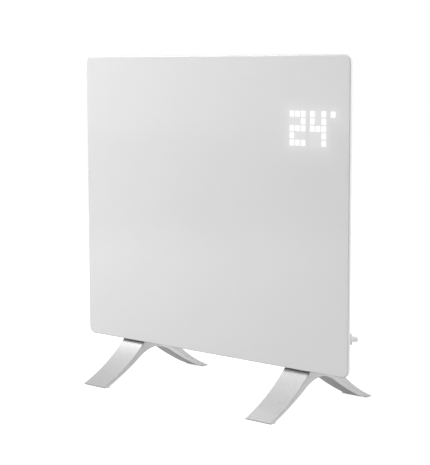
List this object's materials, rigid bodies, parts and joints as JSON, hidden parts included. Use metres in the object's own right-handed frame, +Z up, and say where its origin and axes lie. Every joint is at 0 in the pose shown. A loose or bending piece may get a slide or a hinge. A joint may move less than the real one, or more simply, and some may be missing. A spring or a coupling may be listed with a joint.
{
  "type": "glass panel convector heater",
  "caption": "Convector heater with a white coated glass front, a sloped steel casing behind it, arched cast feet and a lit temperature readout of square cells.",
  "frame": {"origin": "on the floor, midway between the two feet and midway along them", "axes": "+X to the right as seen from the front, +Y to the back, +Z up; the glass faces -Y"},
  "size_m": [0.52, 0.23, 0.502],
  "materials": {
    "coated_glass": "gloss, coated white behind",
    "bond_foam": "matt",
    "coated_steel": "fine powder coat",
    "grille_steel": "fine powder coat",
    "galvanised_steel": "zinc coated",
    "shield_sheet": "bright rolled",
    "diffuser_film": "matt",
    "grid_plastic": "matt",
    "circuit_board": "satin lacquer",
    "led_white": "clear gel",
    "touch_foam": "matt",
    "zinc_steel": "bright zinc",
    "fin_aluminium": "extruded",
    "element_tube": "drawn, darkened by heat",
    "white_ceramic": "unglazed",
    "cutout_metal": "bright",
    "black_rubber": "matt",
    "cast_aluminium": "satin, blasted and lacquered",
    "white_plastic": "satin",
    "black_plastic": "satin",
    "relay_plastic": "gloss",
    "capacitor_sleeve": "gloss",
    "module_can": "tinned",
    "brass": "bright",
    "pendulum_steel": "turned",
    "sensor_metal": "bright",
    "element_insulation": "woven sleeve",
    "mains_insulation": "satin",
    "signal_insulation": "satin"
  },
  "bodies": {
    "heater_body": {"front_glass": "coated_glass", "bond_frame": "bond_foam", "rear_housing": "coated_steel", "outlet_grille": "grille_steel", "front_tray": "galvanised_steel", "element_bracket_left": "galvanised_steel", "element_bracket_right": "galvanised_steel", "tilt_bracket": "galvanised_steel", "air_baffle": "galvanised_steel", "foot_nut_plates": "galvanised_steel", "heat_shield": "shield_sheet", "display_diffuser": "diffuser_film", "light_grid": "grid_plastic", "led_board": "circuit_board", "touch_board": "circuit_board", "power_board": "circuit_board", "display_leds": "led_white", "touch_pads": "touch_foam", "display_screws": "zinc_steel", "shield_screws": "zinc_steel", "shield_spacers": "zinc_steel", "board_screws": "zinc_steel", "back_screws": "zinc_steel", "housing_screws": "zinc_steel", "foot_screws": "zinc_steel", "wall_inserts": "zinc_steel", "earth_screw": "zinc_steel", "tilt_pin": "zinc_steel", "heater_fins": "fin_aluminium", "heater_rod": "element_tube", "ceramic_bushes": "white_ceramic", "thermal_cutout": "cutout_metal", "foot_pads": "black_rubber", "grommets": "black_rubber", "gland_washer": "black_rubber", "foot_left": "cast_aluminium", "foot_right": "cast_aluminium", "cord_gland": "white_plastic", "gland_nut": "white_plastic", "control_box": "white_plastic", "control_lid": "white_plastic", "terminal_block": "white_plastic", "sensor_clip": "white_plastic", "switch_body": "black_plastic", "tilt_light_gate": "black_plastic", "transformer": "black_plastic", "relay": "relay_plastic", "capacitors": "capacitor_sleeve", "wifi_module": "module_can", "terminal_screws": "brass", "earth_nut": "brass", "earth_lug": "brass", "switch_blades": "brass", "room_sensor": "sensor_metal", "element_leads": "element_insulation", "mains_leads": "mains_insulation", "signal_leads": "signal_insulation"},
    "switch_paddle": {"switch_rocker": "black_plastic"},
    "tip_over_weight": {"tilt_pendulum": "pendulum_steel"}
  },
  "joints": [
    {"name": "switch_paddle_hinge", "type": "hinge", "parent": "heater_body", "child": "switch_paddle", "pos_m": [0.176, 0.032, 0.1], "axis": [-1, 0, 0], "range_deg": [0, 16]},
    {"name": "tip_over_hinge", "type": "hinge", "parent": "heater_body", "child": "tip_over_weight", "pos_m": [0.174, 0.015, 0.375], "axis": [1, 0, 0], "range_deg": [-14, 14]}
  ]
}
